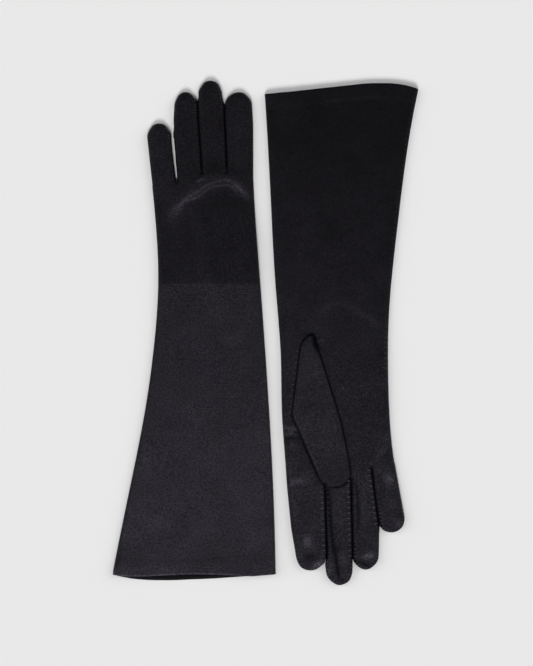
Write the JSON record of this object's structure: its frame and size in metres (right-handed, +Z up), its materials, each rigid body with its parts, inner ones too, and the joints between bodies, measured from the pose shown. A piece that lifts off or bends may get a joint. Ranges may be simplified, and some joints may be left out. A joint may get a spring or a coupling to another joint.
{
  "type": "opera gloves",
  "caption": "Elbow-length evening gloves in plain black satin, a pair laid flat: one back up, the other palm up with its thumb folded over the palm.",
  "frame": {"origin": "under the middle of the pair, on the surface that it lies on", "axes": "+Z up off the surface; +Y the way the left glove's fingers point; +X from the left glove to the right glove"},
  "size_m": [0.2679, 0.4429, 0.0104],
  "materials": {
    "satin": "satin",
    "fourchette_satin": "satin",
    "thread": "matte"
  },
  "bodies": {
    "left_glove": {"left_cuff_hem": "satin", "left_hem_stitches": "thread", "left_index_middle_fourchette": "fourchette_satin", "left_index_middle_stitches": "thread", "left_middle_ring_fourchette": "fourchette_satin", "left_middle_ring_stitches": "thread", "left_ring_little_fourchette": "fourchette_satin", "left_ring_little_stitches": "thread", "left_side_seam_stitches": "thread", "left_trank": "satin"},
    "left_thumb_flap": {"left_thumb": "satin", "left_thumb_seam_stitches": "thread", "left_thumb_side_stitches": "thread"},
    "right_glove": {"right_cuff_hem": "satin", "right_hem_stitches": "thread", "right_index_middle_fourchette": "fourchette_satin", "right_index_middle_stitches": "thread", "right_middle_ring_fourchette": "fourchette_satin", "right_middle_ring_stitches": "thread", "right_ring_little_fourchette": "fourchette_satin", "right_ring_little_stitches": "thread", "right_side_seam_stitches": "thread", "right_trank": "satin"},
    "right_thumb_flap": {"right_thumb": "satin", "right_thumb_seam_stitches": "thread", "right_thumb_side_stitches": "thread"}
  },
  "joints": [
    {"name": "left_thumb_fold", "type": "hinge", "parent": "left_glove", "child": "left_thumb_flap", "pos_m": [-0.0191, 0.0149, 0], "axis": [-0.1781, -0.984, 0], "range_deg": [0, 150]},
    {"name": "right_glove_lift", "type": "slide", "parent": "left_glove", "child": "right_glove", "axis": [0, 0, 1], "range_m": [0, 0.05]},
    {"name": "right_thumb_fold", "type": "hinge", "parent": "right_glove", "child": "right_thumb_flap", "pos_m": [0.0306, -0.014, 0.0101], "axis": [-0.1263, -0.992, 0], "range_deg": [0, 150]}
  ]
}
